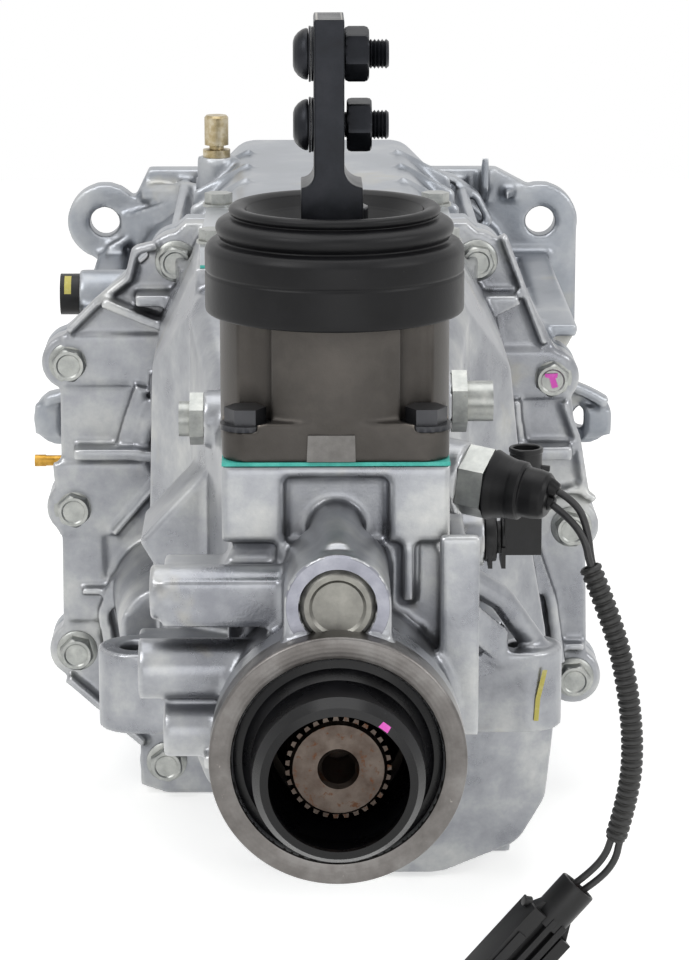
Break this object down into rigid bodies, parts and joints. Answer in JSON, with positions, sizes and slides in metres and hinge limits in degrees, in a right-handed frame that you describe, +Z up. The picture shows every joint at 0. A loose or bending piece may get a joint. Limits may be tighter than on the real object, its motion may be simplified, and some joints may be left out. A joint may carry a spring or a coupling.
{
  "type": "manual gearbox",
  "caption": "Rear-drive manual gearbox: cast case in two halves, splined input and output shafts, gear train, selector rail and remote gear lever on the tail.",
  "frame": {"origin": "centre of the front mounting face, on the main shaft's axis", "axes": "+Y forward along the main shaft to the engine, +X to the right seen from the tail, +Z up"},
  "size_m": [0.284, 0.8145, 0.373],
  "materials": {
    "cast_alloy": "as-cast light silver, fine grain",
    "cast_alloy_cover": "as-cast, warm grey",
    "cast_alloy_tower": "as-cast, brown-grey with age",
    "zinc_steel": "zinc plated, dull",
    "machined_steel": "machined",
    "gear_steel": "ground, oiled",
    "black_steel": "black oxide, rubbed at the edges",
    "black_rubber": "dusty matte",
    "black_plastic": "moulded",
    "wire_black": "insulation",
    "orange_seal": "moulded seal",
    "sealant": "blue-green sealing paste, cured",
    "gasket": "blue-green gasket sheet",
    "bronze": "plain bearing bronze",
    "brass": "turned"
  },
  "bodies": {
    "housing": {"main_case": "cast_alloy", "rear_case": "cast_alloy", "case_bolts": "zinc_steel", "bearing_retainer": "cast_alloy", "retainer_bolts": "zinc_steel", "front_seal": "black_rubber", "top_plate": "cast_alloy_cover", "top_plate_gasket": "sealant", "top_plate_bolts": "zinc_steel", "shift_tower": "cast_alloy_tower", "tower_gasket": "gasket", "tower_bolts": "black_steel", "tail_bushing": "bronze", "tail_seal": "black_rubber", "rail_plug": "machined_steel", "breather": "zinc_steel", "hex_plugs": "zinc_steel", "side_plug": "black_plastic", "locating_pin": "brass", "reverse_switch": "machined_steel", "switch_boot": "black_rubber", "wire_a": "wire_black", "wire_b": "wire_black", "loom": "black_plastic", "connector": "black_plastic", "connector_seal": "orange_seal", "speed_sensor": "black_plastic", "bearing_outer_rings": "gear_steel", "counter_outer_rings": "gear_steel", "idler_pin": "gear_steel", "shifter_boot": "black_rubber"},
    "countershaft": {"countershaft": "gear_steel", "counter_inner_rings": "gear_steel"},
    "input": {"input_shaft": "gear_steel", "input_inner_ring": "gear_steel"},
    "output": {"output_shaft": "gear_steel", "output_inner_ring": "gear_steel", "synchro_hubs": "gear_steel"},
    "first_gear": {"first_gear": "gear_steel"},
    "second_gear": {"second_gear": "gear_steel"},
    "third_gear": {"third_gear": "gear_steel"},
    "fifth_gear": {"fifth_gear": "gear_steel"},
    "reverse_gear": {"reverse_gear": "gear_steel"},
    "reverse_idler": {"reverse_idler": "gear_steel"},
    "sleeve_12": {"sleeve_12": "gear_steel"},
    "sleeve_34": {"sleeve_34": "gear_steel"},
    "sleeve_5r": {"sleeve_5r": "gear_steel"},
    "fork_12": {"fork_12": "gear_steel"},
    "fork_34": {"fork_34": "gear_steel"},
    "fork_5r": {"fork_5r": "gear_steel"},
    "gate_collar": {"gate_collar": "gear_steel"},
    "rail": {"control_rail": "gear_steel", "shift_finger": "gear_steel", "lever_socket": "gear_steel"},
    "gate_yoke": {"gate_yoke": "machined_steel"},
    "lever": {"shift_lever": "black_steel", "lever_pin": "machined_steel", "lever_bolts": "black_steel", "lever_washers": "black_steel", "lever_nuts": "black_steel"}
  },
  "joints": [
    {"name": "countershaft_spin", "type": "hinge", "parent": "housing", "child": "countershaft", "pos_m": [0.028, 0, -0.08026], "axis": [0, 1, 0], "continuous": true},
    {"name": "input_spin", "type": "hinge", "parent": "housing", "child": "input", "pos_m": [0, 0, 0], "axis": [0, 1, 0], "continuous": true},
    {"name": "output_spin", "type": "hinge", "parent": "housing", "child": "output", "pos_m": [0, 0, 0], "axis": [0, 1, 0], "continuous": true},
    {"name": "first_spin", "type": "hinge", "parent": "housing", "child": "first_gear", "pos_m": [0, 0, 0], "axis": [0, 1, 0], "continuous": true},
    {"name": "second_spin", "type": "hinge", "parent": "housing", "child": "second_gear", "pos_m": [0, 0, 0], "axis": [0, 1, 0], "continuous": true},
    {"name": "third_spin", "type": "hinge", "parent": "housing", "child": "third_gear", "pos_m": [0, 0, 0], "axis": [0, 1, 0], "continuous": true},
    {"name": "fifth_spin", "type": "hinge", "parent": "housing", "child": "fifth_gear", "pos_m": [0, 0, 0], "axis": [0, 1, 0], "continuous": true},
    {"name": "reverse_spin", "type": "hinge", "parent": "housing", "child": "reverse_gear", "pos_m": [0, 0, 0], "axis": [0, 1, 0], "continuous": true},
    {"name": "idler_spin", "type": "hinge", "parent": "housing", "child": "reverse_idler", "pos_m": [-0.01939, 0, -0.07576], "axis": [0, 1, 0], "continuous": true},
    {"name": "sleeve_12_slide", "type": "slide", "parent": "output", "child": "sleeve_12", "axis": [0, 1, 0], "range_m": [-0.0105, 0.0105]},
    {"name": "sleeve_34_slide", "type": "slide", "parent": "output", "child": "sleeve_34", "axis": [0, 1, 0], "range_m": [-0.0105, 0.0105]},
    {"name": "sleeve_5r_slide", "type": "slide", "parent": "output", "child": "sleeve_5r", "axis": [0, 1, 0], "range_m": [-0.0105, 0.0105]},
    {"name": "fork_12_slide", "type": "slide", "parent": "housing", "child": "fork_12", "axis": [0, 1, 0], "range_m": [-0.0105, 0.0105]},
    {"name": "fork_34_slide", "type": "slide", "parent": "housing", "child": "fork_34", "axis": [0, 1, 0], "range_m": [-0.0105, 0.0105]},
    {"name": "fork_5r_slide", "type": "slide", "parent": "housing", "child": "fork_5r", "axis": [0, 1, 0], "range_m": [-0.0105, 0.0105]},
    {"name": "gate", "type": "hinge", "parent": "housing", "child": "gate_yoke", "pos_m": [0, -0.528, 0.116], "axis": [0, 1, 0], "range_deg": [-9, 9], "stiffness_Nm_per_rad": 12},
    {"name": "shift", "type": "hinge", "parent": "gate_yoke", "child": "lever", "pos_m": [0, -0.528, 0.116], "axis": [1, 0, 0], "range_deg": [-11.25, 11.25], "deforming": ["shifter_boot"]},
    {"name": "gate_collar_turn", "type": "hinge", "parent": "housing", "child": "gate_collar", "pos_m": [0, -0.528, 0.0487], "axis": [0, 1, 0], "range_deg": [-30, 30]},
    {"name": "rail_slide", "type": "slide", "parent": "gate_collar", "child": "rail", "axis": [0, 1, 0], "range_m": [-0.0105, 0.0105]}
  ],
  "couplings": [
    {"joint": "input_spin", "follows": "countershaft_spin", "ratio": -1.381},
    {"joint": "third_spin", "follows": "countershaft_spin", "ratio": -1.0833},
    {"joint": "second_spin", "follows": "countershaft_spin", "ratio": -0.72414},
    {"joint": "first_spin", "follows": "countershaft_spin", "ratio": -0.47059},
    {"joint": "fifth_spin", "follows": "countershaft_spin", "ratio": -1.6316},
    {"joint": "idler_spin", "follows": "countershaft_spin", "ratio": -0.86667},
    {"joint": "reverse_spin", "follows": "countershaft_spin", "ratio": 0.41935},
    {"joint": "gate_collar_turn", "follows": "gate", "ratio": -3.29},
    {"joint": "rail_slide", "follows": "shift", "m_per_rad": 0.0533},
    {"joint": "fork_34_slide", "follows": "shift", "m_per_rad": 0.0533},
    {"joint": "sleeve_34_slide", "follows": "shift", "m_per_rad": 0.0533},
    {"joint": "sleeve_12_slide", "follows": "fork_12_slide", "ratio": 1},
    {"joint": "sleeve_5r_slide", "follows": "fork_5r_slide", "ratio": 1}
  ]
}
